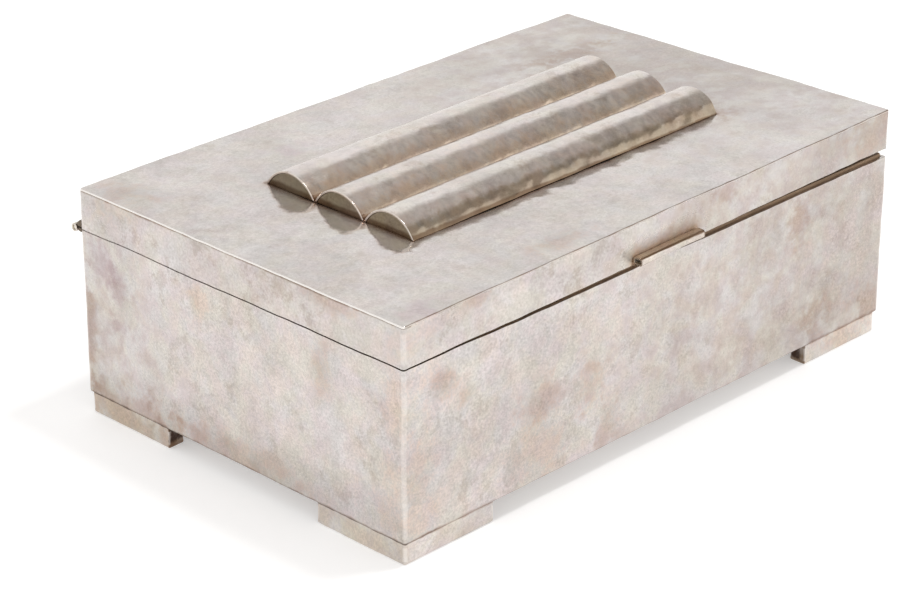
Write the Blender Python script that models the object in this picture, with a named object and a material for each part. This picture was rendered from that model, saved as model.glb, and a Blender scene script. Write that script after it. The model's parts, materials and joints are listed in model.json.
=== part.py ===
"""Silver casket: a hammered box on four corner feet, lined with wood, with a hinged lid.

The body is a band of sheet round a floor plate, and the lid is a lower band under a top
plate that carries three half-round bars and a thumb-piece. The two are joined along the
whole back by a knuckled hinge, whose tubes lie in grooved bearers.

Sizes are in metres, +Z is up and -Y is the front. The origin lies on the table, under the
middle of the casket's outline. The lid turns about the lid_pivot empty's X axis.
"""
import math

import bmesh
import bpy
from mathutils import Vector

MM = 0.001

# Body: outside sizes, and the gauge of the sheet that body and lid are made of
LENGTH = 240.0 * MM
DEPTH = 153.0 * MM
BODY_HEIGHT = 60.4 * MM
SHEET = 1.2 * MM
CORNER_RADIUS = 0.9 * MM
BOTTOM_EDGE_RADIUS = 0.8 * MM

# Feet: L-shaped bars under the corners
FOOT_HEIGHT = 7.7 * MM
FOOT_LEG = 39.5 * MM
FOOT_WIDTH = 6.2 * MM
FOOT_INSET = 0.8 * MM
FOOT_CORNER_RADIUS = 0.8 * MM
FOOT_EDGE_RADIUS = 0.5 * MM

# Wood lining: its walls stand above the body's rim and centre the lid
LINING_THICKNESS = 3.0 * MM
LINING_RISE = 1.2 * MM
LINING_EDGE_RADIUS = 0.4 * MM

# Lid: it has sprung into a slight twist, so its front right corner stands proud
LID_HEIGHT = 14.5 * MM
LID_TOP_THICKNESS = 0.6 * MM
LID_EDGE_RADIUS = 0.4 * MM
LID_TWIST = 2.65 * MM
TWIST_SLICE = 20.0 * MM

# Bars on the lid: half-round sheet, closed at both ends with D-shaped caps
BAR_LENGTH = 150.5 * MM
BAR_WIDTH = 22.9 * MM
BAR_RISE = 7.0 * MM
BAR_SPACING = 23.2 * MM
BAR_SHEET = 0.8 * MM
BAR_OFFSET = 1.4 * MM
CAP_THICKNESS = 0.9 * MM
CAP_RECESS = 0.2 * MM

# Thumb-piece: a hollow moulding along the lower edge of the lid's front, open at its ends
THUMB_LENGTH = 31.5 * MM
THUMB_DEPTH = 4.0 * MM
THUMB_HEIGHT = 2.9 * MM
THUMB_SHEET = 0.7 * MM
THUMB_RADIUS = 1.1 * MM
THUMB_LIFT = 0.6 * MM

# Hinge: knuckles along the back, each in the groove of its bearer, on one pin
HINGE_OFFSET = 3.6 * MM
HINGE_DROP = 0.4 * MM
KNUCKLE_COUNT = 7
KNUCKLE_RADIUS = 1.45 * MM
PIN_RADIUS = 0.7 * MM
LID_BEARER_HEIGHT = 2.3 * MM
BODY_BEARER_HEIGHT = 1.3 * MM
BEARER_EDGE = 1.0 * MM
BEARER_END_INSET = 0.4 * MM
LID_GROOVE_ANGLE = 65.0
BODY_GROOVE_ANGLE = 20.0

# Clearances
SOLDER_GAP = 0.25 * MM
WOOD_GAP = 0.3 * MM
LID_GAP = 0.45 * MM
PIN_CLEARANCE = 0.2 * MM
KNUCKLE_GAP = 0.3 * MM

# Smoothness of the round forms
CORNER_STEPS = 4
EDGE_STEPS = 3
BAR_STEPS = 20
ROUND_STEPS = 24
GROOVE_STEPS = 8
ROUND_PROFILE = 0.5
SMALLEST_RADIUS = 0.2 * MM
SMOOTH_ANGLE = 35.0

# Places worked out from the sizes above
FRONT_REACH = SOLDER_GAP + THUMB_DEPTH
BACK_REACH = HINGE_OFFSET + KNUCKLE_RADIUS
BODY_Y = (FRONT_REACH - BACK_REACH) / 2
RIM_Z = FOOT_HEIGHT + BODY_HEIGHT
PIVOT = Vector((0.0, DEPTH / 2 + HINGE_OFFSET, RIM_Z - HINGE_DROP))
LID_BASE = Vector((0.0, -PIVOT.y, HINGE_DROP + LID_GAP))
KNUCKLE_LENGTH = (LENGTH - (KNUCKLE_COUNT - 1) * KNUCKLE_GAP) / KNUCKLE_COUNT
GROOVE_RADIUS = KNUCKLE_RADIUS + SOLDER_GAP

SILVER = ((0.64, 0.61, 0.57), 0.32, 1.0)
DARK_SILVER = ((0.42, 0.38, 0.32), 0.36, 1.0)
CEDAR = ((0.30, 0.15, 0.07), 0.60, 0.0)


def clear_scene():
    for old in list(bpy.data.objects):
        bpy.data.objects.remove(old, do_unlink=True)


def material(name, finish):
    """A Principled material in one colour, roughness and metallic value."""
    colour, roughness, metallic = finish
    made = bpy.data.materials.new(name)
    made.use_nodes = True
    shader = made.node_tree.nodes["Principled BSDF"]
    shader.inputs["Base Color"].default_value = (*colour, 1.0)
    shader.inputs["Roughness"].default_value = roughness
    shader.inputs["Metallic"].default_value = metallic
    return made


def empty(name, location, parent=None):
    made = bpy.data.objects.new(name, None)
    made.location = location
    made.parent = parent
    bpy.context.scene.collection.objects.link(made)
    return made


def piece(name, bm, finish, parent, location=(0.0, 0.0, 0.0), turn=0.0):
    """Turns a bmesh into a named object under its parent, with its own material."""
    bmesh.ops.recalc_face_normals(bm, faces=bm.faces)
    mesh = bpy.data.meshes.new(name)
    bm.to_mesh(mesh)
    bm.free()
    mesh.shade_smooth()
    mesh.set_sharp_from_angle(angle=math.radians(SMOOTH_ANGLE))
    mesh.materials.append(material(name, finish))
    made = bpy.data.objects.new(name, mesh)
    made.location = location
    made.rotation_euler.z = turn
    made.parent = parent
    bpy.context.scene.collection.objects.link(made)
    return made


def loft(rings, closed):
    """Skins rings of equal point count: closed like a hoop, or open with a face on each end."""
    bm = bmesh.new()
    loops = [[bm.verts.new(point) for point in ring] for ring in rings]
    pairs = list(zip(loops, loops[1:]))
    if closed:
        pairs.append((loops[-1], loops[0]))
    else:
        bm.faces.new(loops[0])
        bm.faces.new(loops[-1])
    for low, high in pairs:
        for at in range(len(low)):
            after = (at + 1) % len(low)
            bm.faces.new((low[at], low[after], high[after], high[at]))
    return bm


def arc(centre, radius, start, end, steps):
    """Points along an arc, with the angles in degrees, anticlockwise from the first axis."""
    points = []
    for step in range(steps + 1):
        angle = math.radians(start + (end - start) * step / steps)
        points.append((centre[0] + radius * math.cos(angle), centre[1] + radius * math.sin(angle)))
    return points


def rounded_rectangle(length, depth, radius):
    """A rectangle about the origin with its corners rounded."""
    x, y = length / 2 - radius, depth / 2 - radius
    points = []
    for quarter, corner in enumerate(((x, y), (-x, y), (-x, -y), (x, -y))):
        points += arc(corner, radius, 90 * quarter, 90 * quarter + 90, CORNER_STEPS)
    return points


def wall_rings(profile):
    """The casket's outline at each inset and height of a profile."""
    rings = []
    for inset, height in profile:
        radius = max(CORNER_RADIUS - inset, SMALLEST_RADIUS)
        outline = rounded_rectangle(LENGTH - 2 * inset, DEPTH - 2 * inset, radius)
        rings.append([(x, y, height) for x, y in outline])
    return rings


def rounded_edge(radius, height, outward):
    """Insets and heights round an outer edge that faces down (outward -1) or up (+1)."""
    points = arc((0.0, 0.0), radius, 0, 90, EDGE_STEPS)
    edge = [(radius - x, height - outward * (radius - y)) for x, y in points]
    return edge if outward > 0 else edge[::-1]


def along_x(outline, start, end):
    """A prism of a Y-Z outline, from one X to another."""
    return loft([[(x, y, z) for y, z in outline] for x in (start, end)], closed=False)


def upright(outline, low, high):
    """A prism of an X-Y outline, from one height to another."""
    return loft([[(x, y, z) for x, y in outline] for z in (low, high)], closed=False)


def round_edges(bm, edges, radius):
    bmesh.ops.bevel(bm, geom=edges, offset=radius, segments=EDGE_STEPS, profile=ROUND_PROFILE,
                    affect="EDGES")


def twist_with_lid(bm):
    """Lets a piece, in the lid pivot's frame, follow the twist of the lid.

    The lift grows evenly to the right and to the front, so lines along X and Y stay
    straight. Slices along the length keep the large faces true to it.
    """
    count = math.ceil(LENGTH / TWIST_SLICE)
    for number in range(1, count):
        geometry = bm.verts[:] + bm.edges[:] + bm.faces[:]
        station = (LENGTH * (number / count - 0.5), 0.0, 0.0)
        bmesh.ops.bisect_plane(bm, geom=geometry, plane_co=station, plane_no=(1, 0, 0))
    for vertex in bm.verts:
        rightward = vertex.co.x / LENGTH + 0.5
        forward = -vertex.co.y / (HINGE_OFFSET + DEPTH)
        vertex.co.z += LID_TWIST * rightward * forward
    return bm


def lid_piece(name, bm, parent, finish=SILVER):
    """Places a piece, built about the middle of the lid's underside, on the twisted lid."""
    bmesh.ops.translate(bm, verts=bm.verts, vec=LID_BASE)
    return piece(name, twist_with_lid(bm), finish, parent)


def build_body(casket):
    """The band of four walls, with its lower edge rounded, and the floor plate inside it."""
    profile = rounded_edge(BOTTOM_EDGE_RADIUS, FOOT_HEIGHT, -1)
    profile += [(0.0, RIM_Z), (SHEET, RIM_Z), (SHEET, FOOT_HEIGHT)]
    piece("body_walls", loft(wall_rings(profile), closed=True), SILVER, casket)
    inset = SHEET + SOLDER_GAP
    floor = wall_rings([(inset, FOOT_HEIGHT), (inset, FOOT_HEIGHT + SHEET)])
    piece("body_floor", loft(floor, closed=False), SILVER, casket)


def foot():
    """An L with equal legs along +X and +Y from its outer corner, which is rounded."""
    outline = arc((FOOT_CORNER_RADIUS,) * 2, FOOT_CORNER_RADIUS, 180, 270, CORNER_STEPS)
    outline += [(FOOT_LEG, 0.0), (FOOT_LEG, FOOT_WIDTH), (FOOT_WIDTH, FOOT_WIDTH)]
    outline += [(FOOT_WIDTH, FOOT_LEG), (0.0, FOOT_LEG)]
    bm = upright(outline, 0.0, FOOT_HEIGHT - SOLDER_GAP)
    sole_edges = [edge for edge in bm.edges if all(vertex.co.z == 0.0 for vertex in edge.verts)]
    round_edges(bm, sole_edges, FOOT_EDGE_RADIUS)
    return bm


def build_feet(casket):
    x, y = LENGTH / 2 - FOOT_INSET, DEPTH / 2 - FOOT_INSET
    corners = {"front_left": (-x, -y), "front_right": (x, -y),
               "back_right": (x, y), "back_left": (-x, y)}
    for quarter, (name, (at_x, at_y)) in enumerate(corners.items()):
        piece("foot_" + name, foot(), DARK_SILVER, casket, (at_x, at_y, 0.0),
              turn=quarter * math.pi / 2)


def lining_wall(outer_length, low, high):
    """A board along X with mitred ends; its outer face lies on Y = 0, its inner one above."""
    half = outer_length / 2
    inner = half - LINING_THICKNESS
    outline = [(-half, 0.0), (half, 0.0), (inner, LINING_THICKNESS), (-inner, LINING_THICKNESS)]
    bm = upright(outline, low, high)
    level_edges = [edge for edge in bm.edges if edge.verts[0].co.yz == edge.verts[1].co.yz]
    top = max(vertex.co.z for vertex in bm.verts)
    round_edges(bm, [edge for edge in level_edges if edge.verts[0].co.z == top], LINING_EDGE_RADIUS)
    return bm


def build_lining(casket):
    """A floor board on the floor plate, and four mitred walls that stand on it."""
    inset = SHEET + WOOD_GAP
    low = FOOT_HEIGHT + SHEET + WOOD_GAP
    top_of_floor = low + LINING_THICKNESS
    board = wall_rings([(inset, low), (inset, top_of_floor)])
    piece("lining_floor", loft(board, closed=False), CEDAR, casket)
    x, y = LENGTH / 2 - inset, DEPTH / 2 - inset
    mitre = 2 * WOOD_GAP
    walls = {"front": (2 * x - mitre, (0.0, -y)), "right": (2 * y - mitre, (x, 0.0)),
             "back": (2 * x - mitre, (0.0, y)), "left": (2 * y - mitre, (-x, 0.0))}
    for quarter, (name, (outer_length, (at_x, at_y))) in enumerate(walls.items()):
        wall = lining_wall(outer_length, top_of_floor + WOOD_GAP, RIM_Z + LINING_RISE)
        piece("lining_" + name, wall, CEDAR, casket, (at_x, at_y, 0.0),
              turn=quarter * math.pi / 2)


def build_lid(pivot):
    """The lid's band, and the top plate laid on its upper edge."""
    seam = LID_HEIGHT - LID_TOP_THICKNESS
    band = [(0.0, 0.0), (0.0, seam - SOLDER_GAP), (SHEET, seam - SOLDER_GAP), (SHEET, 0.0)]
    lid_piece("lid_rim", loft(wall_rings(band), closed=True), pivot)
    plate = [(0.0, seam)] + rounded_edge(LID_EDGE_RADIUS, LID_HEIGHT, 1)
    lid_piece("lid_top", loft(wall_rings(plate), closed=False), pivot)


def segment_arc(radius, drop):
    """The arc, above the base line, of a circle whose centre is dropped below that line."""
    half_angle = math.degrees(math.acos(drop / radius))
    return arc((0.0, -drop), radius, 90 - half_angle, 90 + half_angle, BAR_STEPS)


def build_bars(pivot):
    """Three half-round bars side by side, each a bent sheet with a D cap in either end."""
    radius = ((BAR_WIDTH / 2) ** 2 + BAR_RISE ** 2) / (2 * BAR_RISE)
    drop = radius - BAR_RISE
    shell = segment_arc(radius, drop) + segment_arc(radius - BAR_SHEET, drop)[::-1]
    cap = segment_arc(radius - BAR_SHEET - SOLDER_GAP, drop)
    start, end = BAR_OFFSET - BAR_LENGTH / 2, BAR_OFFSET + BAR_LENGTH / 2
    cap_places = {"left": start + CAP_RECESS, "right": end - CAP_RECESS - CAP_THICKNESS}
    for row, name in ((-1, "front"), (0, "middle"), (1, "back")):
        seat = Vector((0.0, row * BAR_SPACING, LID_HEIGHT + SOLDER_GAP))
        bar = along_x(shell, start, end)
        bmesh.ops.translate(bar, verts=bar.verts, vec=seat)
        lid_piece("bar_" + name, bar, pivot)
        for side, place in cap_places.items():
            end_cap = along_x(cap, place, place + CAP_THICKNESS)
            bmesh.ops.translate(end_cap, verts=end_cap.verts, vec=seat)
            lid_piece("bar_" + name + "_cap_" + side, end_cap, pivot, DARK_SILVER)


def hollow_along_x(outer, inner, start, end):
    """A hollow prism between two Y-Z outlines of equal point count, open at both ends."""
    corners = ((outer, start), (outer, end), (inner, end), (inner, start))
    rings = [[(x, y, z) for y, z in outline] for outline, x in corners]
    return loft(rings, closed=True)


def build_thumb_piece(pivot):
    """A hollow moulding with rounded edges, soldered to the lid's front."""
    inner_radius = max(THUMB_RADIUS - THUMB_SHEET, SMALLEST_RADIUS)
    outer = rounded_rectangle(THUMB_DEPTH, THUMB_HEIGHT, THUMB_RADIUS)
    inner = rounded_rectangle(THUMB_DEPTH - 2 * THUMB_SHEET, THUMB_HEIGHT - 2 * THUMB_SHEET,
                              inner_radius)
    moulding = hollow_along_x(outer, inner, -THUMB_LENGTH / 2, THUMB_LENGTH / 2)
    middle = Vector((0.0, -DEPTH / 2 - SOLDER_GAP - THUMB_DEPTH / 2, THUMB_LIFT + THUMB_HEIGHT / 2))
    bmesh.ops.translate(moulding, verts=moulding.verts, vec=middle)
    lid_piece("thumb_piece", moulding, pivot)


def bearer(mating_height, upward, height, groove_angle):
    """A strip between wall and barrel, in the hinge's frame, grooved to take the knuckles.

    It stands from its mating height away from the other bearer, up (+1) or down (-1). The
    groove runs round the barrel to its angle above or below the level through the pin.
    """
    wall = -HINGE_OFFSET + SOLDER_GAP
    far = mating_height + upward * height
    start = 180 - math.degrees(math.asin(mating_height / GROOVE_RADIUS))
    end = 180 - upward * groove_angle
    outline = [(wall, mating_height)] + arc((0.0, 0.0), GROOVE_RADIUS, start, end, GROOVE_STEPS)
    outline += [(wall + BEARER_EDGE, far), (wall, far)]
    half = LENGTH / 2 - BEARER_END_INSET
    return along_x(outline, -half, half)


def circle(radius):
    return arc((0.0, 0.0), radius, 0, 360, ROUND_STEPS)[:-1]


def build_hinge(casket, pivot):
    """Two bearers, the knuckles that belong to body and lid by turns, and the pin."""
    body_bearer = bearer(HINGE_DROP, -1, BODY_BEARER_HEIGHT, BODY_GROOVE_ANGLE)
    lid_bearer = bearer(HINGE_DROP + LID_GAP, 1, LID_BEARER_HEIGHT, LID_GROOVE_ANGLE)
    piece("hinge_bearer_body", body_bearer, DARK_SILVER, casket, PIVOT)
    piece("hinge_bearer_lid", lid_bearer, DARK_SILVER, pivot)
    barrel, bore = circle(KNUCKLE_RADIUS), circle(PIN_RADIUS + PIN_CLEARANCE)
    for number in range(KNUCKLE_COUNT):
        knuckle = hollow_along_x(barrel, bore, -KNUCKLE_LENGTH / 2, KNUCKLE_LENGTH / 2)
        middle = Vector((number * (KNUCKLE_LENGTH + KNUCKLE_GAP), 0.0, 0.0))
        middle.x += (KNUCKLE_LENGTH - LENGTH) / 2
        on_body = number % 2 == 0
        holder, place = (casket, PIVOT + middle) if on_body else (pivot, middle)
        piece("hinge_knuckle_" + str(number + 1), knuckle, DARK_SILVER, holder, place)
    half = LENGTH / 2 - BEARER_END_INSET
    piece("hinge_pin", along_x(circle(PIN_RADIUS), -half, half), DARK_SILVER, casket, PIVOT)


def main():
    clear_scene()
    casket = empty("casket", (0.0, BODY_Y, 0.0))
    pivot = empty("lid_pivot", PIVOT, casket)
    build_body(casket)
    build_feet(casket)
    build_lining(casket)
    build_hinge(casket, pivot)
    build_lid(pivot)
    build_bars(pivot)
    build_thumb_piece(pivot)


main()
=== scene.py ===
"""Looks of the silver casket: finishes, softened and planished surfaces, light and camera.

Every piece is worked up from its CAD node, so it sits where the frame says. Sizes are in
metres unless a comment says millimetres, +Z is up and -Y is the front.
"""
import json
import math

import bmesh
import bpy
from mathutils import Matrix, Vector, noise

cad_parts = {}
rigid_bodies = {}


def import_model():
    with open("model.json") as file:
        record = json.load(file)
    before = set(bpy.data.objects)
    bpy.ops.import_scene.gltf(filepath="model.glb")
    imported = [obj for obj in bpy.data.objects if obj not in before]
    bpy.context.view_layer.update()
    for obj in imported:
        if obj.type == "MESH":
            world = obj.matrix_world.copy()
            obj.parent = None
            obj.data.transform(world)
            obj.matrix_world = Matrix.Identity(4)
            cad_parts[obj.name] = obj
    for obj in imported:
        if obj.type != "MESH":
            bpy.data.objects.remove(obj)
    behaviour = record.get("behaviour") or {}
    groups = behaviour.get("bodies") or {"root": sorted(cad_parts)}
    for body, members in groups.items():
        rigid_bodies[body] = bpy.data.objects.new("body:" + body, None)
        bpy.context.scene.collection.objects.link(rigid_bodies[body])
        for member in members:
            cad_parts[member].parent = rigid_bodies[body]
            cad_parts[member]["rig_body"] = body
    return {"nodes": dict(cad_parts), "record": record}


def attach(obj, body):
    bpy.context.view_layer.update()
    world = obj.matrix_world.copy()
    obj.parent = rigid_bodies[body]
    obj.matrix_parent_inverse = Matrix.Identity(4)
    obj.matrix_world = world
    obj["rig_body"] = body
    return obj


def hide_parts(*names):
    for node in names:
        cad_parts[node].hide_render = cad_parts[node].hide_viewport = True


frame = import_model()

MM = 0.001
X, Y = 0, 1
SLOTS = {part["node"]: part["material_slot"] for part in frame["record"]["subparts"]}
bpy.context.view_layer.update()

# Without a seed of its own, Blender's noise differs from run to run
NOISE_SEED = 7
noise.seed_set(NOISE_SEED)

# Camera, from the photograph's perspective: angles in degrees, lens and sensor in millimetres
CAMERA_PLACE = Vector((-697.7, -663.9, 477.6)) * MM
CAMERA_AZIMUTH = -45.52
CAMERA_ELEVATION = 25.10
CAMERA_LENS = 121.8
CAMERA_CLIP = (0.01, 50.0)
SENSOR_WIDTH = 36.0

WHITE = (1.0, 1.0, 1.0)

# Floor: lifted a little towards white for the camera and for reflections
FLOOR_SIZE = 6.0
FLOOR_COLOUR = (0.97, 0.97, 0.97)
FLOOR_GLOW = 0.15
FLOOR_GLOW_LEVEL = 2.0

# Studio: pale, lighter in front and lightest there near the horizon. A reach is the range of a
# direction's Y or Z over which one level gives way to the next.
STUDIO_COLOUR = (1.0, 0.99, 0.98)
STUDIO_LEVEL = 0.92
FRONT_LEVEL = 1.07
FRONT_REACH = (-0.5, 0.3)
HORIZON_LEVEL = 1.5
HORIZON_REACH = (0.15, 0.4)

# The studio's one dim zone, high to the right, that the bars reflect: a cone of this half-angle
# with a blurred edge, in degrees. It darkens along X, and its foot is cut off along Z.
FLAG_COLOUR = (1.0, 0.93, 0.87)
FLAG_LEVELS = (0.52, 0.30)
FLAG_REACH = (0.62, 0.76)
FLAG_DIRECTION = Vector((0.652, -0.351, 0.672))
FLAG_ANGLE = 42.0
FLAG_BLUR = 9.0
FLAG_FOOT = (0.48, 0.51)

# Lamp: where it hangs, seen from the casket, how wide it is, and its watts
LAMP_DIRECTION = Vector((0.21, -0.18, 0.96))
LAMP_DISTANCE = 1.5
LAMP_SIZE = 0.22
LAMP_POWER = 5.6

# How the CAD faces are cleaned, and how far their sharp edges are softened. Angles in degrees.
WELD = 0.001 * MM
FLAT_ANGLE = 0.3
SHARP_ANGLE = 40.0
EDGE_SEGMENTS = 3
ROUND_PROFILE = 0.5
USUAL_EDGE = 0.20 * MM
SOFT_EDGE = 0.25 * MM
CRISP_EDGE = 0.12 * MM
FINE_EDGE = 0.10 * MM

# The widest strips that the pieces are cut into along X, Y and Z; 0 leaves an axis uncut
WALL_SPACING = (2.5 * MM,) * 3
TOP_SPACING = (1.8 * MM, 1.8 * MM, 0)
BAR_SPACING = (1.2 * MM, 1.0 * MM, 0)
CAP_SPACING = (0, 1.5 * MM, 1.5 * MM)
THUMB_SPACING = (1.5 * MM, 0.7 * MM, 0.7 * MM)
FOOT_SPACING = (2.5 * MM, 2.5 * MM, 1.5 * MM)
HINGE_SPACING = (3 * MM, 0, 0)

# Waves left by planishing, as pairs of height and cell size
SHEET_WAVES = ((0.25 * MM, 24 * MM), (0.13 * MM, 5.5 * MM))
BAR_WAVES = ((0.16 * MM, 14 * MM), (0.08 * MM, 4.5 * MM))

# Which edges are brightened, by polish from hands and by a painted highlight: how far they fold,
# in degrees, and how they face
BRIGHT_EDGE_ANGLE = 9.0
UPRIGHT = 0.1
SIDEWAYS = 0.2

# How far pieces close in on each other: over a soldered seam, the rim up to the top plate and
# out over its edge, the rim down towards the hinge, and the pin in its bores
SEAM_FILL = 0.20 * MM
ARRIS_FILL = 0.50 * MM
ARRIS_LAP = 0.03 * MM
HINGE_FILL = 0.42 * MM
PIN_FILL = 0.17 * MM

# How closely a face has to look one way to be pushed that way
SAME_DIRECTION = 0.98

# Bars: half the width inside one, and how the facets of its outside are evened out. A point is
# on the outside where it faces up by more than the first slope and along by less than the next.
BAR_INSIDE = 9.0 * MM
OUTSIDE_UPWARD = 0.5
OUTSIDE_ALONG = 0.05
SMOOTHING_ROUNDS = 4
SMOOTHING = 0.5

# The front bar's lower front, beaten out of true: how far it ripples and how far it sinks, and
# the part of the bar's half width over which this comes in
RIPPLE = 0.35 * MM
RIPPLE_CELL = 5.0 * MM
SINK = 0.5 * MM
LEAN_FROM = 0.60
LEAN_TO = 0.90
LEAN_OUTWARD = Vector((0.0, -0.8, 0.6))

# Base colours
WALL_COLOUR = (0.806, 0.763, 0.748)
BAND_COLOUR = (0.808, 0.763, 0.745)
TOP_COLOUR = (0.846, 0.805, 0.789)
PLAIN_COLOUR = (0.84, 0.79, 0.76)
FOOT_COLOUR = (0.91, 0.86, 0.83)
BAR_COLOUR = (0.93, 0.88, 0.85)
THUMB_COLOUR = (0.87, 0.815, 0.76)
CAP_COLOUR = (0.38, 0.33, 0.245)
HINGE_COLOUR = (0.86, 0.81, 0.75)
BEARER_COLOUR = (0.20, 0.165, 0.13)
POLISH_AND_HIGHLIGHT_COLOUR = (0.92, 0.885, 0.85)
CEDAR_COLOUR = (0.28, 0.18, 0.11)
CEDAR_GRAIN = (0.14, 0.085, 0.05)
CEDAR_BAND = (0.31, 0.21, 0.125)

# Tints of the mottling and the tarnish that cover all the silver
CLOUD_TINT = (0.86, 0.85, 0.84)
MOTTLE_TINT = (0.90, 0.895, 0.89)
SPECK_TINT = (0.75, 0.745, 0.74)
PINK_TO_GREEN = ((1.0, 0.968, 0.975), (0.96, 0.985, 0.975))
TAN_TO_VIOLET = ((1.0, 0.982, 0.93), (0.975, 0.967, 0.985))
TARNISH_TINT = (0.80, 0.74, 0.69)

# Tints of single stains, of grime and of painted shade
BROWN = (0.88, 0.815, 0.77)
TAN = (0.97, 0.915, 0.865)
VIOLET = (0.90, 0.86, 0.885)
DIM = (0.80, 0.775, 0.755)
GRIME_AND_SHADE = (0.50, 0.42, 0.36)
GROOVE_SHADE = (0.10, 0.08, 0.075)
UMBER = (0.37, 0.275, 0.205)
SHADE = (0.28, 0.25, 0.27)
TAWNY = (0.66, 0.58, 0.53)
GREY = (0.845, 0.85, 0.855)
GILT = (0.93, 0.83, 0.70)
OLIVE = (0.86, 0.845, 0.79)
MOSS = (0.63, 0.61, 0.545)

# Leanings: the slopes between which a tint comes in, and the tint
BAR_LEANINGS = {"front": (0.96, 0.6, (0.89, 0.81, 0.74)),
                "middle": (0.96, 0.6, (0.87, 0.76, 0.64)),
                "back": (0.96, 0.6, (0.87, 0.76, 0.64))}
# The thumb-piece's tint goes on its upward faces: tarnish, and a painted brown reflection
THUMB_TOP_TARNISH_AND_REFLECTION = (0.5, 0.9, (0.72, 0.61, 0.475))

# Stains and broad darkening: a tint, then the place and the reach of each, in millimetres. The
# broad DIM entries darken the right end of the walls, band and top and the back end of the left
# wall, and the long BROWN entries low on the left wall darken it towards the bottom.
WALL_STAINS = (
    (BROWN, (-59, -77, 36), (10, 20, 9)), (BROWN, (-35, -77, 33), (8, 20, 12)),
    (BROWN, (-26, -77, 15), (7, 20, 10)), (BROWN, (-92, -77, 51), (4, 20, 4)),
    (BROWN, (-102, -77, 58), (6, 20, 5)), (BROWN, (71, -77, 57), (7, 20, 11)),
    (BROWN, (84, -77, 19), (11, 20, 9)), (BROWN, (112, -77, 14), (10, 20, 10)),
    (TAN, (-114, -77, 22), (9, 20, 20)), (TAN, (-60, -77, 20), (16, 20, 12)),
    (DIM, (120, -77, 36), (130, 60, 70)),
    (VIOLET, (-120, 67, 61), (20, 11, 9)), (VIOLET, (-120, 57, 46), (20, 6, 16)),
    (BROWN, (-120, 75, 32), (20, 5, 26)), (BROWN, (-120, 52, 8), (20, 36, 11)),
    (TAN, (-120, -73, 56), (20, 6, 14)), (TAN, (-120, 16, 60), (20, 6, 7)),
    (BROWN, (-120, -40, 57), (20, 5, 10)), (BROWN, (-120, 2, 9), (20, 40, 9)),
    (DIM, (-120, 100, 36), (60, 60, 60)))
BAND_STAINS = (
    (BROWN, (-120, -45, 81), (20, 13, 4)), (TAN, (-120, -74, 78), (20, 5, 9)),
    (TAN, (-120, 60, 80), (20, 12, 5)), (BROWN, (31, -77, 81), (8, 20, 5)),
    (BROWN, (-87, -77, 82), (8, 20, 3)), (DIM, (120, -77, 76), (120, 60, 40)),
    (BROWN, (112, -77, 80), (20, 30, 10)))
TOP_STAINS = (
    (BROWN, (-112, 60, 84), (10, 12, 20)), (BROWN, (90, 44, 84), (30, 6, 20)),
    (BROWN, (77, -34, 84), (6, 7, 20)), (BROWN, (-42, -68, 84), (15, 5, 20)),
    (VIOLET, (-110, -72, 84), (12, 6, 20)), (VIOLET, (-49, 52, 84), (8, 7, 20)),
    (DIM, (130, 20, 84), (110, 90, 30)))
FOOT_STAINS_AND_SIDE_SHADE = (
    # The first three entries darken the left feet's left faces: painted shade of that side, and
    # tarnish
    (OLIVE, (-120, -57, 4), (4, 30, 10)), (BROWN, (-120, 57, 4), (8, 30, 12)),
    (OLIVE, (-120, 57, 4), (8, 40, 14)), (BROWN, (100, -77, 4), (24, 6, 8)),
    (GREY, (-80, -77, 4), (26, 8, 12)))
BAR_PITCH = 23.2
BAR_STAINS = tuple(
    (GRIME_AND_SHADE, (-75, across + 6, 84), (2.5, 9, 9)) for across in (-BAR_PITCH, 0, BAR_PITCH))

# Grime and painted shade: a tint, then the box that it lies round and how far it reaches, in
# millimetres. The painted shade darkens seams and contact lines, where shade falls.
WALL_GRIME_AND_SHADE = (
    # Painted shade, with grime, along the walls' lower edges, in the seam over the feet and below it
    (GRIME_AND_SHADE, (-120, -0.4, 7.0), (2, 78, 0.9), 1.0),
    # The darkest of it, where the left groove mirrors the shadowed floor, is painted shade
    (GROOVE_SHADE, (-120, -0.4, 7.4), (2, 78, 0.2), 0.7),
    (GRIME_AND_SHADE, (-114, -77, 7.0), (8, 2, 0.9), 1.0),
    (TAWNY, (-96, -77, 7.0), (16, 2, 0.9), 1.3),
    (TAWNY, (100, -77, 7.0), (20, 2, 0.9), 1.3),
    (TAWNY, (0, -77, 6.6), (121, 2, 0.9), 0.9))
BAND_GRIME_AND_SHADE = (
    (TAN, (0, -77, 71), (14, 5, 2), 7.0),
    (GILT, (0, -77, 71), (15, 5, 1.5), 3.0),
    # Painted contact shade, with grime, where the thumb-piece meets the band
    (GRIME_AND_SHADE, (0, -77, 70.5), (15.5, 5, 1.5), 1.0),
    (GRIME_AND_SHADE, (-120, 0, 82.7), (3, 78, 0.1), 0.9))
TOP_GRIME_AND_SHADE = (
    # Painted shade, with grime, round the bars' feet: a dark line, and a soft brown shade beyond
    (GRIME_AND_SHADE, (1.4, 0, 84), (75, 34.5, 9), 1.5),
    (BROWN, (1.4, 0, 84), (75, 34.5, 9), 3.0),
    # A painted dark reflection along the top plate's front edge
    (GRIME_AND_SHADE, (0, -77.2, 84), (121, 0.1, 9), 0.7))
BAR_GRIME_AND_SHADE = (
    # Painted contact shade, with grime, along the bars' feet
    (GRIME_AND_SHADE, (0, 0, 83.5), (90, 50, 1.2), 0.8),
    (MOSS, (0, -35, 84), (90, 2, 3), 3.0))
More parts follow.
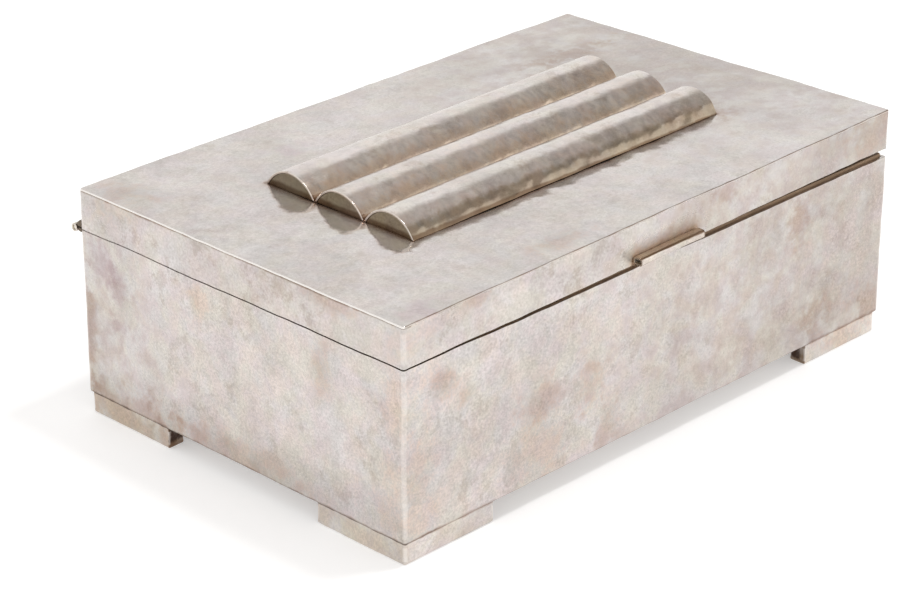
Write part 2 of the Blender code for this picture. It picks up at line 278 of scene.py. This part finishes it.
# Painted contact shade, with grime, along the caps' feet
CAP_GRIME_AND_SHADE = ((GRIME_AND_SHADE, (0, 0, 83.5), (90, 50, 1.2), 1.3),)
FOOT_GRIME_AND_SHADE = (
    # The feet's end faces: painted shade, with grime, where they mirror the dark floor under the
    # casket
    (UMBER, (-116.1, 35.3, 4.3), (3.1, 0.3, 3.7), 0.8),
    (UMBER, (79.2, -73.0, 4.3), (0.3, 3.1, 3.7), 0.8),
    (SHADE, (-115.5, 35.3, 5.5), (2.5, 0.3, 2.5), 1.5),
    (SHADE, (79.2, -71.4, 5.0), (0.3, 2.0, 3.0), 1.5),
    # Painted shade, with grime, along the feet's tops, in the seam under the walls
    (GRIME_AND_SHADE, (-120, -0.4, 8.0), (2, 78, 0.3), 0.6),
    (GROOVE_SHADE, (-120, -0.4, 8.0), (2, 78, 0.2), 0.7),
    (GRIME_AND_SHADE, (-114, -77, 8.0), (8, 2, 0.3), 0.6),
    (TAWNY, (-96, -77, 8.0), (16, 2, 0.3), 1.0),
    (TAWNY, (100, -77, 8.0), (20, 2, 0.3), 1.0))
THUMB_GRIME = (
    (GRIME_AND_SHADE, (-16.6, -79, 70.5), (0.8, 4, 4), 0.5),
    (GRIME_AND_SHADE, (16.4, -79, 70.5), (0.8, 4, 4), 0.5),
    (UMBER, (0, -80.6, 73.2), (16, 0.1, 0.1), 0.5))

# The box round which the band is matt: the thumb-piece's place
THUMB_SURROUND = ((0, -77, 71), (15, 5, 2), 7.0)

# How stains, grime and painted shade fade out: from where to where, in parts of their reach,
# and how ragged the edge of a box's tint is
STAIN_FADE = (0.2, 1.1)
BOX_TINT_FULL = 0.1
BOX_TINT_RAGGED = 0.5

# Cell sizes of the silver's noises
CLOUD_CELL = 24 * MM
PATCH_CELL = 15 * MM
TAN_CELL = 13 * MM
PINK_CELL = 9 * MM
MOTTLE_CELL = 3.6 * MM
GRAIN_CELL = 0.9 * MM
HAIR_CELL = 0.35 * MM
HAIR_STRETCH = (0.15, 1.0, 1.0)

# Noise levels between which the clouds, the mottling, the specks, the faint tints and the
# patches of tarnish come in, and how torn those patches are
CLOUD_REACH = (0.32, 0.68)
MOTTLE_REACH = (0.35, 0.7)
SPECK_REACH = (0.3, 0.7)
TINT_REACH = (0.38, 0.62)
PATCH_REACH = (0.53, 0.66)
PATCH_RAGGED = 0.08

# What makes edges ragged: two levels of a noise, and what is added at each
RAGGED_BY_MOTTLE = (0.3, 0.7, -0.35, 0.35)
RAGGED_BY_GRAIN = (0.25, 0.75, -0.3, 0.3)
RAGGED_BY_PINK = (0.35, 0.65, -0.3, 0.3)

# Wear and painted edge highlight: how ragged its edge and a leaning tint's are, and where the
# polish and highlight come in
WEAR_RAGGED = 0.2
POLISH_REACH = (0.65, 1.0)

# Roughness: the cloud levels between which it rises, what the finest scratches add, as above,
# and what a dulled surround adds
ROUGH_REACH = (0.3, 0.7)
ROUGH_BY_HAIRS = (0.35, 0.65, -0.02, 0.03)
DULLED_BY = 0.4

# Slopes over which a face counts as looking up, and as looking down, and the share of the
# hammer's blows that a face looking down is spared
UPWARD = (0.0, 0.5)
DOWNWARD = (-0.5, -0.1)
SPARED_BELOW = 0.8

# How deep the finest marks are, in millimetres, and how strongly all marks show
HAIR_DEPTH = 0.008
GRAIN_DEPTH = 0.010
BUMP_STRENGTH = 0.35

# Cedar: cell sizes, the noise levels between which grain and bands come in and what they come
# to, the depth of the grain, and its cells' scale along a board
BOARD_GRAIN_CELL = 1.6 * MM
BOARD_BAND_CELL = 14 * MM
BOARD_GRAIN_REACH = (0.35, 0.7)
BOARD_BAND_REACH = (0.4, 0.7, 0.0, 0.5)
BOARD_ROUGHNESS = (0.3, 0.7, 0.45, 0.65)
BOARD_BUMP = 0.08 * MM
BOARD_BUMP_STRENGTH = 0.3
DRAWN_OUT = 0.08


def add_object(name, data):
    made = bpy.data.objects.new(name, data)
    bpy.context.scene.collection.objects.link(made)
    return made


def extent(bm, axis):
    """The least and the greatest place of the points along an axis."""
    values = [vertex.co[axis] for vertex in bm.verts]
    return min(values), max(values)


def softened(node, edge):
    """The node's own solid as a bmesh of clean faces, with its sharp edges rounded."""
    bm = bmesh.new()
    bm.from_mesh(frame["nodes"][node].data)
    bmesh.ops.remove_doubles(bm, verts=bm.verts, dist=WELD)
    bmesh.ops.dissolve_limit(bm, angle_limit=math.radians(FLAT_ANGLE), verts=bm.verts, edges=bm.edges)
    sharp = [line for line in bm.edges if line.calc_face_angle(0.0) > math.radians(SHARP_ANGLE)]
    bmesh.ops.bevel(bm, geom=sharp, offset=edge, segments=EDGE_SEGMENTS,
                    profile=ROUND_PROFILE, affect="EDGES", clamp_overlap=True)
    return bm


def cut_up(bm, spacing):
    """Cuts the faces along each axis into strips no wider than the spacing."""
    for axis in range(3):
        if not spacing[axis]:
            continue
        low, high = extent(bm, axis)
        count = math.ceil((high - low) / spacing[axis])
        normal = Vector([float(axis == other) for other in range(3)])
        for number in range(1, count):
            station = normal * (low + (high - low) * number / count)
            geometry = bm.verts[:] + bm.edges[:] + bm.faces[:]
            bmesh.ops.bisect_plane(bm, geom=geometry, plane_co=station, plane_no=normal)


def push(bm, direction, distance, chosen=lambda face: True):
    """Moves the chosen faces that look one way along it, to close on the piece beside them."""
    direction = Vector(direction)
    bm.normal_update()
    points = {vertex for face in bm.faces
              if face.normal.dot(direction) > SAME_DIRECTION and chosen(face)
              for vertex in face.verts}
    for vertex in points:
        vertex.co += direction * distance


def swell(bm, distance):
    """Fattens a piece that runs along X, all round."""
    bm.normal_update()
    for vertex in bm.verts:
        vertex.co += Vector((0.0, vertex.normal.y, vertex.normal.z)).normalized() * distance


def seat_rim(bm):
    """Closes the rim on the top plate, laps its sides over it, and drops it towards the hinge."""
    push(bm, (0, 0, 1), ARRIS_FILL)
    for direction in ((1, 0, 0), (-1, 0, 0), (0, 1, 0), (0, -1, 0)):
        push(bm, direction, ARRIS_LAP)
    bm.normal_update()
    front, back = extent(bm, Y)
    for vertex in {vertex for face in bm.faces if face.normal.z < -SAME_DIRECTION
                   for vertex in face.verts}:
        vertex.co.z -= HINGE_FILL * (vertex.co.y - front) / (back - front)


def fit_bar(bm):
    """Closes a bar's two long edges on the lid, and evens out the facets of its arc."""
    middle = sum(extent(bm, Y)) / 2
    push(bm, (0, 0, -1), SEAM_FILL,
         lambda face: abs(face.calc_center_median().y - middle) > BAR_INSIDE)
    bm.normal_update()
    outside = [vertex for vertex in bm.verts
               if vertex.normal.z > OUTSIDE_UPWARD and abs(vertex.normal.x) < OUTSIDE_ALONG]
    for _ in range(SMOOTHING_ROUNDS):
        bmesh.ops.smooth_vert(bm, verts=outside, factor=SMOOTHING, use_axis_y=True,
                              use_axis_z=True)


def fit_front_bar(bm):
    """As the others, and its lower front is rippled and sinks towards its right end."""
    fit_bar(bm)
    (left, right), (front, back) = extent(bm, X), extent(bm, Y)
    for vertex in bm.verts:
        forward = (front + back - 2 * vertex.co.y) / (back - front)
        lean = min(max((forward - LEAN_FROM) / (LEAN_TO - LEAN_FROM), 0.0), 1.0)
        along = (vertex.co.x - left) / (right - left)
        ripple = RIPPLE * lean * noise.noise(vertex.co / RIPPLE_CELL)
        vertex.co += LEAN_OUTWARD * (ripple - SINK * (along * lean) ** 2)


def upright(facing):
    """Whether a point on a rounded edge, by the way it faces, is on an upright one."""
    return abs(facing.z) < UPRIGHT


def mark_polish_and_highlight(bm, brightened):
    """Keeps, on each point, whether it lies on a rounded edge that is brightened: polished by hands,
    and given a painted highlight.

    The function given says so of the way that the point faces.
    """
    layer = bm.verts.layers.float.new("polish_and_highlight")
    bm.normal_update()
    for line in bm.edges:
        if line.calc_face_angle(0.0) > math.radians(BRIGHT_EDGE_ANGLE):
            for vertex in line.verts:
                if brightened(vertex.normal):
                    vertex[layer] = 1.0


def planish(bm, waves):
    """Moves the points by smooth noise, given as pairs of height and cell size.

    Points on the table stay on it, and none goes below it.
    """
    for vertex in bm.verts:
        on_table = vertex.co.z < WELD
        for height, cell in waves:
            vertex.co += height * noise.noise_vector(vertex.co / cell)
        vertex.co.z = 0.0 if on_table else max(vertex.co.z, 0.0)


def finished(node, finish, edge=USUAL_EDGE, spacing=(0, 0, 0), waves=(), fit=None, brightened=None):
    """Adds a refined piece that stands for a CAD node, on the same body and with the given finish."""
    bm = softened(node, edge)
    cut_up(bm, spacing)
    if fit:
        fit(bm)
    if brightened:
        mark_polish_and_highlight(bm, brightened)
    planish(bm, waves)
    mesh = bpy.data.meshes.new(node + "_finished")
    bm.to_mesh(mesh)
    bm.free()
    mesh.shade_smooth()
    mesh.materials.append(finish)
    piece = add_object(node + "_finished", mesh)
    weighted = piece.modifiers.new("weighted", "WEIGHTED_NORMAL")
    weighted.keep_sharp = True
    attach(piece, frame["nodes"][node]["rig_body"])
    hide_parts(node)


class Nodes:
    """Builds the nodes of one tree: an input is a number, a colour or another node's socket."""

    def __init__(self, tree):
        self.tree = tree

    def add(self, kind, inputs=None, **settings):
        node = self.tree.nodes.new(kind)
        for name, value in settings.items():
            setattr(node, name, value)
        self.fill(node, inputs or {})
        return node

    def fill(self, node, inputs):
        for name, value in inputs.items():
            self.give(node.inputs[name], value)

    def give(self, socket, value):
        if isinstance(value, bpy.types.NodeSocket):
            self.tree.links.new(value, socket)
        elif socket.type == "RGBA":
            socket.default_value = (*value, 1.0)
        else:
            socket.default_value = value

    def span(self, value, low, high, to_low=0.0, to_high=1.0):
        """Goes smoothly from one level to another as the value goes from low to high."""
        made = self.add("ShaderNodeMapRange", {
            "Value": value, "From Min": low, "From Max": high, "To Min": to_low, "To Max": to_high},
            interpolation_type="SMOOTHSTEP")
        return made.outputs["Result"]

    def mix_shader(self, factor, first, second):
        made = self.add("ShaderNodeMixShader", {0: factor, 1: first, 2: second})
        return made.outputs["Shader"]


class Shading(Nodes):
    """Builds one material round its Principled shader."""

    def __init__(self, name):
        self.material = bpy.data.materials.new(name)
        self.material.use_nodes = True
        super().__init__(self.material.node_tree)
        self.shader = self.tree.nodes["Principled BSDF"]
        coordinates = self.add("ShaderNodeTexCoord")
        self.place = coordinates.outputs["Object"]
        self.facing = coordinates.outputs["Normal"]

    def noise(self, cell, detail, roughness=0.55, distortion=0.0, stretch=(1.0, 1.0, 1.0),
              shift=0.0):
        moved = self.add("ShaderNodeMapping", {"Vector": self.place, "Location": (shift,) * 3,
                                               "Scale": stretch})
        made = self.add("ShaderNodeTexNoise", {
            "Vector": moved.outputs["Vector"], "Scale": 1.0 / cell, "Detail": detail,
            "Roughness": roughness, "Distortion": distortion})
        return made.outputs["Fac"]

    def mix(self, factor, first, second, blend="MIX"):
        made = self.add("ShaderNodeMix", data_type="RGBA", blend_type=blend)
        colours = [socket for socket in made.inputs if socket.type == "RGBA"]
        for socket, value in zip([made.inputs["Factor"], *colours], (factor, first, second)):
            self.give(socket, value)
        return [socket for socket in made.outputs if socket.type == "RGBA"][0]

    def tint(self, factor, colour, tint):
        """The colour multiplied by a tint, as far as the factor says."""
        return self.mix(factor, colour, tint, "MULTIPLY")

    def maths(self, operation, first, second):
        return self.add("ShaderNodeMath", {0: first, 1: second}, operation=operation).outputs["Value"]

    def times(self, first, second):
        return self.maths("MULTIPLY", first, second)

    def plus(self, first, *others):
        for other in others:
            first = self.maths("ADD", first, other)
        return first

    def around(self, centre, reach, ragged):
        """1 in the middle of an ellipsoid given in millimetres, falling to 0 at its ragged edge."""
        moved = self.add("ShaderNodeMapping", {
            "Vector": self.place, "Location": Vector(centre) * MM, "Scale": Vector(reach) * MM},
            vector_type="TEXTURE")
        away = self.add("ShaderNodeVectorMath", {0: moved.outputs["Vector"]}, operation="LENGTH")
        distance = self.plus(away.outputs["Value"], ragged)
        return self.span(distance, *STAIN_FADE, 1.0, 0.0)

    def beside(self, centre, half, reach, ragged):
        """1 at a box given in millimetres, falling to 0 at a ragged distance from it."""
        value = self.place
        for operation, other in (("SUBTRACT", Vector(centre) * MM), ("ABSOLUTE", (0, 0, 0)),
                                 ("SUBTRACT", Vector(half) * MM), ("MAXIMUM", (0, 0, 0))):
            made = self.add("ShaderNodeVectorMath", {0: value, 1: other}, operation=operation)
            value = made.outputs["Vector"]
        away = self.add("ShaderNodeVectorMath", {0: value}, operation="LENGTH").outputs["Value"]
        distance = self.plus(away, self.times(ragged, BOX_TINT_RAGGED * reach * MM))
        return self.span(distance, BOX_TINT_FULL * reach * MM, reach * MM, 1.0, 0.0)

    def bump(self, height, strength, distance):
        made = self.add("ShaderNodeBump", {"Height": height, "Strength": strength,
                                           "Distance": distance})
        return made.outputs["Normal"]

    def finish(self, colour, roughness, metallic, normal):
        self.fill(self.shader, {"Base Color": colour, "Roughness": roughness,
                                "Metallic": metallic, "Normal": normal})
        return self.material


def silver(name, colour, stains=(), grime_and_shade=(), smooth=0.15, rough=0.25, tarnish=0.5, tinted=1.0,
           polish_and_highlight=0.4, hammer=5.0, dent=0.10, leaning=None, dulled=None, upper_only=False,
           speck=1.0, metal=1.0, satin_below=0.0):
    """Planished silver, satin from age.

    Soft clouds, faint pink, green, tan and violet tints, and brown tarnish in ragged patches:
    tinted is the strength of the tints, and tarnish that of the patches.
    Stains are tints with their place and reach. Grime_and_shade is tints round boxes, with their
    middle, half-size and reach, all in millimetres: dirt, and painted shade along seams and contact
    lines. Dulled is one such box whose surround is matt. Upper_only keeps those tints to the faces
    that look up.
    Smooth and rough are the least and the most roughness of the clouds. Polish_and_highlight is
    how far edges are brightened: polished by wear, and given a painted highlight. The hammer's
    blows have a size and a depth, in millimetres.
    Leaning is a tint that comes in as the surface's upward slope goes from one value to another.
    Speck is the strength of the finest mottling, and metal the share that mirrors: the rest is
    a matt veil of fine scratches. Satin_below is added to the roughness of the faces that look
    down, which the hammer's blows hardly reach.
    """
    made = Shading(name)
    clouds = made.noise(CLOUD_CELL, detail=8.0, roughness=0.62, distortion=0.3)
    mottle = made.noise(MOTTLE_CELL, detail=5.0, roughness=0.62, shift=0.37)
    grain = made.noise(GRAIN_CELL, detail=5.0, roughness=0.75, shift=0.11)
    pink = made.noise(PINK_CELL, detail=6.0, roughness=0.6, shift=0.31)
    tan = made.noise(TAN_CELL, detail=7.0, roughness=0.62, distortion=0.5, shift=0.57)
    patches = made.noise(PATCH_CELL, detail=8.0, roughness=0.64, distortion=0.4, shift=0.77)
    hairs = made.noise(HAIR_CELL, detail=3.0, roughness=0.6, stretch=HAIR_STRETCH, shift=0.63)
    dents = made.noise(hammer * MM, detail=1.0, shift=0.83)
    ragged = made.plus(made.span(mottle, *RAGGED_BY_MOTTLE), made.span(grain, *RAGGED_BY_GRAIN),
                       made.span(pink, *RAGGED_BY_PINK))
    slope = made.add("ShaderNodeSeparateXYZ", {0: made.facing}).outputs["Z"]

    shade = made.tint(made.span(clouds, *CLOUD_REACH), colour, CLOUD_TINT)
    shade = made.tint(made.span(mottle, *MOTTLE_REACH), shade, MOTTLE_TINT)
    shade = made.tint(made.span(grain, *SPECK_REACH, 0.0, speck), shade, SPECK_TINT)
    for noise_level, (low_tint, high_tint) in ((pink, PINK_TO_GREEN), (tan, TAN_TO_VIOLET)):
        tints = made.mix(made.span(noise_level, *TINT_REACH), low_tint, high_tint)
        shade = made.tint(tinted, shade, tints)
    torn = made.plus(patches, made.times(ragged, PATCH_RAGGED))
    shade = made.tint(made.span(torn, *PATCH_REACH, 0.0, tarnish), shade, TARNISH_TINT)
    for tint, centre, reach in stains:
        shade = made.tint(made.around(centre, reach, ragged), shade, tint)
    for tint, centre, half, reach in grime_and_shade:
        amount = made.beside(centre, half, reach, ragged)
        if upper_only:
            amount = made.times(amount, made.span(slope, *UPWARD))
        shade = made.tint(amount, shade, tint)
    if leaning:
        low, high, tint = leaning
        ragged_slope = made.plus(slope, made.times(ragged, WEAR_RAGGED))
        shade = made.tint(made.span(ragged_slope, low, high), shade, tint)
    # Marked edges are brightened: polish from wear, and a painted highlight
    edge_brightness = made.add("ShaderNodeAttribute", attribute_name="polish_and_highlight").outputs["Fac"]
    edge_brightness = made.plus(edge_brightness, made.times(ragged, WEAR_RAGGED))
    shade = made.mix(made.span(edge_brightness, *POLISH_REACH, 0.0, polish_and_highlight), shade, POLISH_AND_HIGHLIGHT_COLOUR)

    roughness = made.plus(made.span(clouds, *ROUGH_REACH, smooth, rough),
                          made.span(hairs, *ROUGH_BY_HAIRS))
    if dulled:
        roughness = made.plus(roughness, made.times(made.beside(*dulled, ragged), DULLED_BY))
    if satin_below:
        below = made.span(slope, *DOWNWARD, 1.0, 0.0)
        roughness = made.plus(roughness, made.times(below, satin_below))
        dent = made.maths("SUBTRACT", dent, made.times(below, SPARED_BELOW * dent))
    bumps = made.plus(made.times(dents, dent), made.times(hairs, HAIR_DEPTH),
                      made.times(grain, GRAIN_DEPTH))
    return made.finish(shade, roughness, metal, made.bump(bumps, BUMP_STRENGTH, MM))


def cedar(name, along):
    """Old cedar boards, darkened by oil; the grain is drawn out where along is small."""
    made = Shading(name)
    grain = made.noise(BOARD_GRAIN_CELL, detail=6.0, roughness=0.65, distortion=0.4, stretch=along)
    bands = made.noise(BOARD_BAND_CELL, detail=2.0, stretch=along, shift=0.2)
    colour = made.mix(made.span(grain, *BOARD_GRAIN_REACH), CEDAR_COLOUR, CEDAR_GRAIN)
    colour = made.mix(made.span(bands, *BOARD_BAND_REACH), colour, CEDAR_BAND)
    roughness = made.span(grain, *BOARD_ROUGHNESS)
    return made.finish(colour, roughness, 0.0, made.bump(grain, BOARD_BUMP_STRENGTH, BOARD_BUMP))


def add_floor():
    """A white floor that keeps the casket's soft shadow; camera and metal see it lifted."""
    mesh = bpy.data.meshes.new("floor")
    half = FLOOR_SIZE / 2
    mesh.from_pydata([(-half, -half, 0), (half, -half, 0), (half, half, 0), (-half, half, 0)], [],
                     [(0, 1, 2, 3)])
    floor = add_object("floor", mesh)
    made = Shading("floor_white")
    made.fill(made.shader, {"Base Color": FLOOR_COLOUR, "Roughness": 1.0,
                            "Specular IOR Level": 0.0})
    path = made.add("ShaderNodeLightPath").outputs
    seen = made.maths("MAXIMUM", path["Is Camera Ray"], path["Is Glossy Ray"])
    seen = made.maths("MAXIMUM", seen, path["Is Transmission Ray"])
    glow = made.add("ShaderNodeEmission", {"Color": WHITE, "Strength": FLOOR_GLOW_LEVEL})
    lifted = made.mix_shader(made.times(seen, FLOOR_GLOW), made.shader.outputs["BSDF"],
                             glow.outputs["Emission"])
    made.fill(made.tree.nodes["Material Output"], {"Surface": lifted})
    mesh.materials.append(made.material)


def add_world():
    """Pale all round, but for the dim zone; what the camera sees directly is white."""
    world = bpy.data.worlds.new("studio")
    world.use_nodes = True
    bpy.context.scene.world = world
    made = Nodes(world.node_tree)
    made.tree.nodes.clear()

    def background(colour, strength):
        lit = made.add("ShaderNodeBackground", {"Color": colour, "Strength": strength})
        return lit.outputs["Background"]

    direction = made.add("ShaderNodeTexCoord").outputs["Generated"]
    axes = made.add("ShaderNodeSeparateXYZ", {0: direction}).outputs
    toward = made.add("ShaderNodeVectorMath", {0: direction, 1: FLAG_DIRECTION.normalized()},
                      operation="DOT_PRODUCT").outputs["Value"]
    dim = made.span(axes["X"], *FLAG_REACH, *FLAG_LEVELS)
    inside = made.span(toward, math.cos(math.radians(FLAG_ANGLE + FLAG_BLUR)),
                       math.cos(math.radians(FLAG_ANGLE - FLAG_BLUR)))
    inside = made.span(axes["Z"], *FLAG_FOOT, 0.0, inside)
    front = made.span(axes["Z"], *HORIZON_REACH, HORIZON_LEVEL, FRONT_LEVEL)
    level = made.span(axes["Y"], *FRONT_REACH, front, STUDIO_LEVEL)
    studio = made.mix_shader(inside, background(STUDIO_COLOUR, level), background(FLAG_COLOUR, dim))
    seen = made.add("ShaderNodeLightPath").outputs["Is Camera Ray"]
    made.add("ShaderNodeOutputWorld",
             {"Surface": made.mix_shader(seen, studio, background(WHITE, 1.0))})


def add_lamp():
    """One lamp, almost overhead, that throws the casket's pale shadow to the left."""
    data = bpy.data.lights.new("overhead", "AREA")
    data.shape = "DISK"
    data.size = LAMP_SIZE
    data.energy = LAMP_POWER
    lamp = add_object("overhead", data)
    lamp.location = LAMP_DIRECTION.normalized() * LAMP_DISTANCE
    lamp.rotation_euler = LAMP_DIRECTION.to_track_quat("Z", "Y").to_euler()


def add_camera():
    data = bpy.data.cameras.new("camera")
    data.lens = CAMERA_LENS
    data.sensor_width = SENSOR_WIDTH
    data.clip_start, data.clip_end = CAMERA_CLIP
    camera = add_object("camera", data)
    camera.location = CAMERA_PLACE
    camera.rotation_euler = [math.radians(angle) for angle in
                             (90.0 - CAMERA_ELEVATION, 0.0, CAMERA_AZIMUTH)]
    bpy.context.scene.camera = camera


bpy.context.scene.view_settings.view_transform = "Standard"
add_camera()
add_world()
add_floor()
add_lamp()

wall_silver = silver("wall_silver", WALL_COLOUR, WALL_STAINS, WALL_GRIME_AND_SHADE, polish_and_highlight=0.22)
band_silver = silver("band_silver", BAND_COLOUR, BAND_STAINS, BAND_GRIME_AND_SHADE, polish_and_highlight=0.25, metal=0.6,
                     tarnish=0.7, dulled=THUMB_SURROUND)
top_silver = silver("top_silver", TOP_COLOUR, TOP_STAINS, TOP_GRIME_AND_SHADE, smooth=0.07, rough=0.15,
                    tarnish=0.3, tinted=0.7, polish_and_highlight=1.0, hammer=7.0, dent=0.5, upper_only=True,
                    speck=0.8, metal=0.8, satin_below=0.3)
plain_silver = silver("plain_silver", PLAIN_COLOUR)
foot_silver = silver("foot_silver", FOOT_COLOUR, FOOT_STAINS_AND_SIDE_SHADE, FOOT_GRIME_AND_SHADE, tarnish=0.4)
bar_silver = {row: silver("bar_silver_" + row, BAR_COLOUR, BAR_STAINS, BAR_GRIME_AND_SHADE, smooth=0.14,
                          rough=0.24, tarnish=0.6, tinted=0.7, polish_and_highlight=0.5, hammer=4.0, dent=0.4,
                          speck=0.4, leaning=leaning)
              for row, leaning in BAR_LEANINGS.items()}
thumb_silver = silver("thumb_silver", THUMB_COLOUR, grime_and_shade=THUMB_GRIME, tarnish=0.3, metal=0.7,
                      leaning=THUMB_TOP_TARNISH_AND_REFLECTION)
cap_silver = silver("cap_silver", CAP_COLOUR, grime_and_shade=CAP_GRIME_AND_SHADE, smooth=0.16, rough=0.26, tarnish=0.9)
hinge_silver = silver("hinge_silver", HINGE_COLOUR, tarnish=0.9)
bearer_silver = silver("bearer_silver", BEARER_COLOUR, tarnish=0.9)
long_boards = cedar("cedar_long", (DRAWN_OUT, 1.0, 1.0))
short_boards = cedar("cedar_short", (1.0, DRAWN_OUT, 1.0))

# Upright edges are brightened: polish from wear, and a painted highlight on the near corner
finished("body_walls", wall_silver, spacing=WALL_SPACING, waves=SHEET_WAVES, brightened=upright)
finished("body_floor", plain_silver)
finished("lid_rim", band_silver, edge=CRISP_EDGE, spacing=WALL_SPACING, waves=SHEET_WAVES,
         fit=seat_rim, brightened=upright)
# The top plate's left edge alone is brightened, at full strength: a painted highlight
finished("lid_top", top_silver, spacing=TOP_SPACING, waves=SHEET_WAVES,
         brightened=lambda facing: facing.x < -SIDEWAYS)
# The bars' end edges are brightened: polish, and a painted highlight on the rims
for row, shell in bar_silver.items():
    finished("bar_" + row, shell, edge=SOFT_EDGE, spacing=BAR_SPACING, waves=BAR_WAVES,
             fit=fit_front_bar if row == "front" else fit_bar,
             brightened=lambda facing: abs(facing.x) > SIDEWAYS)
    for side in ("left", "right"):
        finished("bar_" + row + "_cap_" + side, cap_silver, spacing=CAP_SPACING, waves=BAR_WAVES,
                 fit=lambda bm: swell(bm, SEAM_FILL))
finished("thumb_piece", thumb_silver, edge=CRISP_EDGE, spacing=THUMB_SPACING, waves=SHEET_WAVES,
         fit=lambda bm: push(bm, (0, 1, 0), SEAM_FILL))
# The feet's upright edges are brightened: polish, and a painted highlight on the near corner
for corner in ("front_left", "front_right", "back_left", "back_right"):
    finished("foot_" + corner, foot_silver, spacing=FOOT_SPACING, waves=SHEET_WAVES,
             brightened=upright)
for side in ("body", "lid"):
    finished("hinge_bearer_" + side, bearer_silver, edge=FINE_EDGE, spacing=HINGE_SPACING,
             fit=lambda bm: push(bm, (0, -1, 0), SEAM_FILL))
finished("hinge_pin", hinge_silver, edge=FINE_EDGE, fit=lambda bm: swell(bm, PIN_FILL))
for node in SLOTS:
    if node.startswith("hinge_knuckle"):
        finished(node, hinge_silver, edge=CRISP_EDGE, spacing=HINGE_SPACING)
for side in ("floor", "front", "back"):
    finished("lining_" + side, long_boards, edge=SOFT_EDGE)
for side in ("left", "right"):
    finished("lining_" + side, short_boards, edge=SOFT_EDGE)
